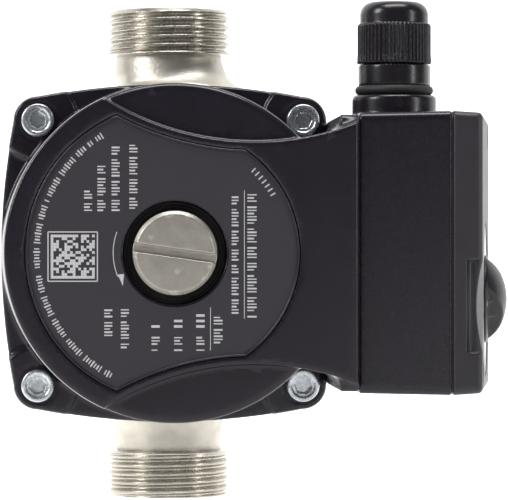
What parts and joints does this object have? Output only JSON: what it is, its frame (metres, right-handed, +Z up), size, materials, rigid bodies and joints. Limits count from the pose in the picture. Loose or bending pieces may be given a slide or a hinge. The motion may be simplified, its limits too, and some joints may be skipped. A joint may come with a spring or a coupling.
{
  "type": "circulator pump",
  "caption": "Wet-rotor heating circulator with threaded in-line ports, a round motor with a vent plug, and a side terminal box with a speed knob and cable gland.",
  "frame": {"origin": "centre of the lower port's sealing face", "axes": "+Z up the pipe to the upper port, +X towards the terminal box, -Y out of the motor's front"},
  "size_m": [0.1304, 0.1089, 0.13],
  "materials": {
    "cast_nickel": "bead-blasted nickel-plated cast bronze",
    "steel": "drawn stainless steel",
    "zinc": "bright zinc plate",
    "nickel": "sandy nickel",
    "brass": "machined brass",
    "black_paint": "glossy black paint on die-cast aluminium",
    "plate": "dark grey printed foil",
    "box_plastic": "fine-grained black plastic",
    "knob_plastic": "satin black plastic",
    "gland_plastic": "black polyamide",
    "rubber": "black rubber",
    "dial": "silver foil",
    "carbon": "carbon graphite",
    "ceramic": "polished ceramic",
    "lamination": "stacked silicon steel sheet",
    "cage": "die-cast aluminium",
    "copper": "enamelled copper wire",
    "insulation": "slot insulation",
    "lead_sleeve": "insulated wire",
    "impeller_plastic": "glass-filled composite",
    "switch_plastic": "ivory switch housing",
    "capacitor_case": "moulded capacitor case",
    "green_paint": "green earth screw"
  },
  "bodies": {
    "pump": {"pump_body": "cast_nickel", "neck_ring": "steel", "body_gasket": "rubber", "bearing_plate": "steel", "front_bearing": "carbon", "rear_bearing": "carbon", "rear_bearing_holder": "steel", "rotor_can": "steel", "vent_bush": "brass", "stator_core": "lamination", "stator_insulators": "insulation", "stator_windings": "copper", "stator_leads": "lead_sleeve", "motor_housing": "black_paint", "nameplate": "plate", "flange_screws": "zinc", "box_gasket": "rubber", "terminal_box": "box_plastic", "box_screws": "zinc", "gland_body": "gland_plastic", "gland_seal": "rubber", "gland_insert": "rubber", "capacitor": "capacitor_case", "terminal_block": "switch_plastic", "terminal_clamps": "brass", "terminal_screws": "zinc", "earth_screw": "green_paint"},
    "rotor": {"impeller": "impeller_plastic", "thrust_bearing": "carbon", "thrust_collar": "rubber", "shaft": "ceramic", "rotor_core": "lamination", "rotor_cage": "cage", "rotor_sleeve": "steel"},
    "plug_seal": {"vent_plug_seal": "rubber"},
    "plug": {"vent_plug": "nickel"},
    "cover": {"terminal_cover": "box_plastic", "cover_seal": "rubber", "cover_screws": "zinc", "dial_label": "dial", "speed_switch": "switch_plastic"},
    "knob": {"speed_knob": "knob_plastic", "switch_rotor": "switch_plastic"},
    "gland_ring": {"gland_slip_ring": "gland_plastic"},
    "gland_cap": {"gland_nut": "gland_plastic"}
  },
  "joints": [
    {"name": "rotor_spin", "type": "hinge", "parent": "pump", "child": "rotor", "pos_m": [0, -0.04, 0.065], "axis": [0, -1, 0], "continuous": true},
    {"name": "plug_travel", "type": "slide", "parent": "pump", "child": "plug_seal", "axis": [0, -1, 0], "range_m": [0, 0.004]},
    {"name": "plug_turn", "type": "hinge", "parent": "plug_seal", "child": "plug", "pos_m": [0, -0.078, 0.065], "axis": [0, -1, 0], "range_deg": [0, 1440]},
    {"name": "cover_lift", "type": "slide", "parent": "pump", "child": "cover", "axis": [1, 0, 0], "range_m": [0, 0.035]},
    {"name": "speed_turn", "type": "hinge", "parent": "cover", "child": "knob", "pos_m": [0.08039, -0.05, 0.0532], "axis": [0.9914, -0.1305, 0], "range_deg": [-90, 0]},
    {"name": "gland_travel", "type": "slide", "parent": "pump", "child": "gland_ring", "axis": [0, 0, 1], "range_m": [0, 0.0045]},
    {"name": "gland_turn", "type": "hinge", "parent": "gland_ring", "child": "gland_cap", "pos_m": [0.0568, -0.05, 0.12], "axis": [0, 0, 1], "range_deg": [0, 1080]}
  ],
  "couplings": [
    {"joint": "plug_travel", "follows": "plug_turn", "m_per_rad": 0.00015915},
    {"joint": "gland_travel", "follows": "gland_turn", "m_per_rad": 0.00023873}
  ]
}
